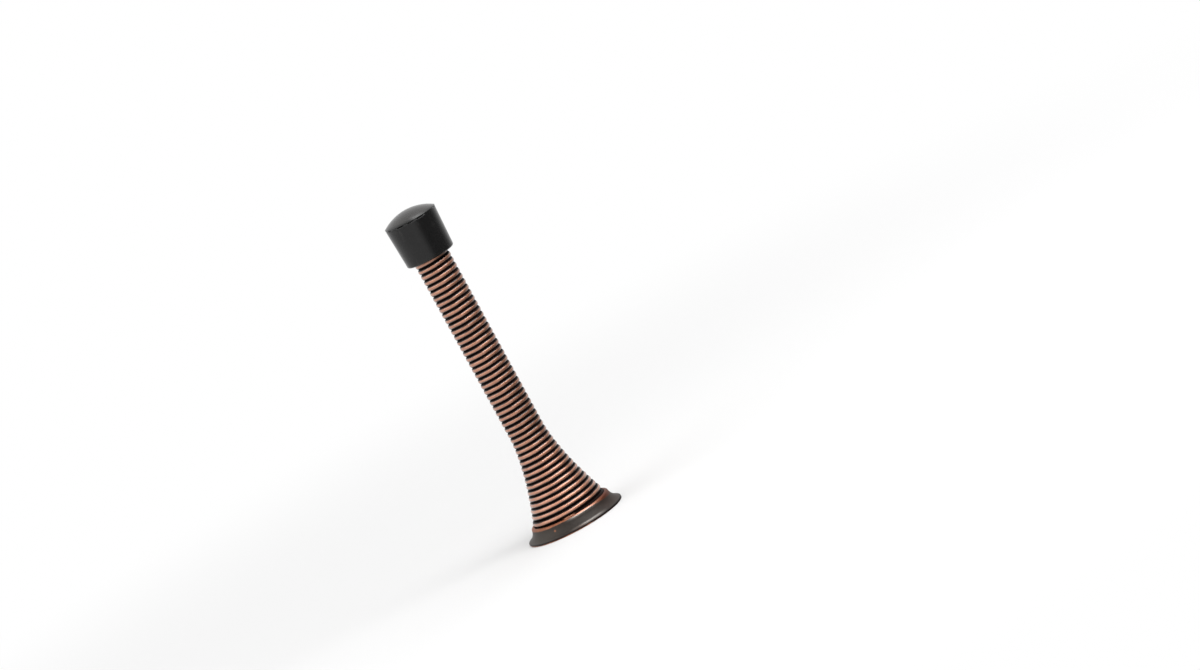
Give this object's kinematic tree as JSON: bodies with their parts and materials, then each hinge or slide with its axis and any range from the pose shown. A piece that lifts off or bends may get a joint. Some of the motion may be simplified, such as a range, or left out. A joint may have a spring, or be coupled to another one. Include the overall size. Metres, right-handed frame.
{
  "type": "spring door stop",
  "caption": "Door stop with a close-wound coil spring that flares into a round screw-on base cup and carries a crowned rubber tip, which meets the door and springs back.",
  "frame": {"origin": "centre of the base's flat back, which lies against the wall or skirting board", "axes": "+Z along the spring from the base to the rubber tip"},
  "size_m": [0.024, 0.024, 0.0825],
  "materials": {
    "base_metal": "dark oil-rubbed bronze plating, worn to copper on the lip and the rim's edge",
    "spring_wire": "antique copper plating, buffed bright on the crests and near black between the coils",
    "tip_rubber": "matte black moulded rubber"
  },
  "bodies": {
    "base": {"base_cup": "base_metal"},
    "spring": {"coil_spring": "spring_wire", "rubber_tip": "tip_rubber"}
  },
  "joints": [
    {"name": "spring_bend", "type": "hinge", "parent": "base", "child": "spring", "pos_m": [0, 0, 0.03], "axis": [0, 1, 0], "range_deg": [-45, 45], "stiffness_Nm_per_rad": 0.03, "deforming": ["coil_spring"]}
  ]
}
